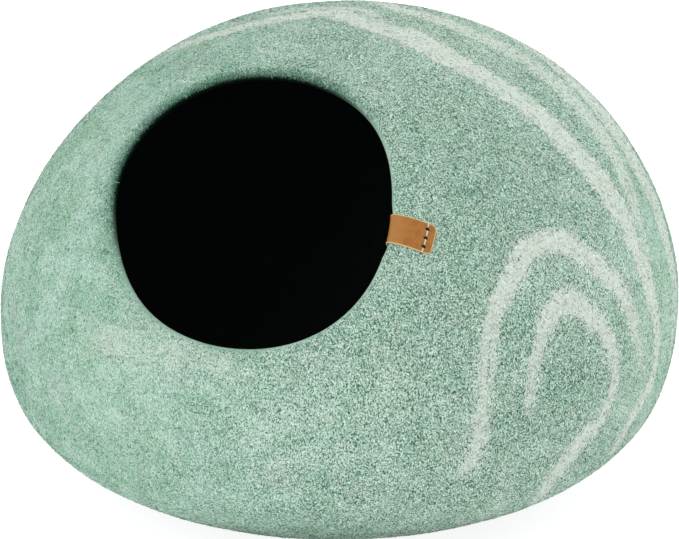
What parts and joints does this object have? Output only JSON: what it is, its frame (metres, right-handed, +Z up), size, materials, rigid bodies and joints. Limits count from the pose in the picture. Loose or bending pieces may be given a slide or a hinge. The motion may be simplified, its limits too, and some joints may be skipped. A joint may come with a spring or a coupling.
{
  "type": "felt cat cave",
  "caption": "Hollow pebble-shaped pet cave of thick wool felt, with a round doorway that faces up and forwards, a flat base and a leather tag folded over the doorway's edge.",
  "frame": {"origin": "on the floor, under the middle of the cave's outline", "axes": "+Z up, the doorway faces -Y and up, a little towards -X; +X is to the right of one who looks at the doorway"},
  "size_m": [0.4804, 0.4447, 0.3048],
  "materials": {
    "felt": "matte wet-felted wool, sea green heathered with grey and cream fibres, cream bands, near black inside",
    "leather": "satin tan leather with paler cut edges",
    "thread": "waxed cream sewing thread"
  },
  "bodies": {
    "root": {"felt_shell": "felt", "leather_tag": "leather"}
  },
  "joints": []
}
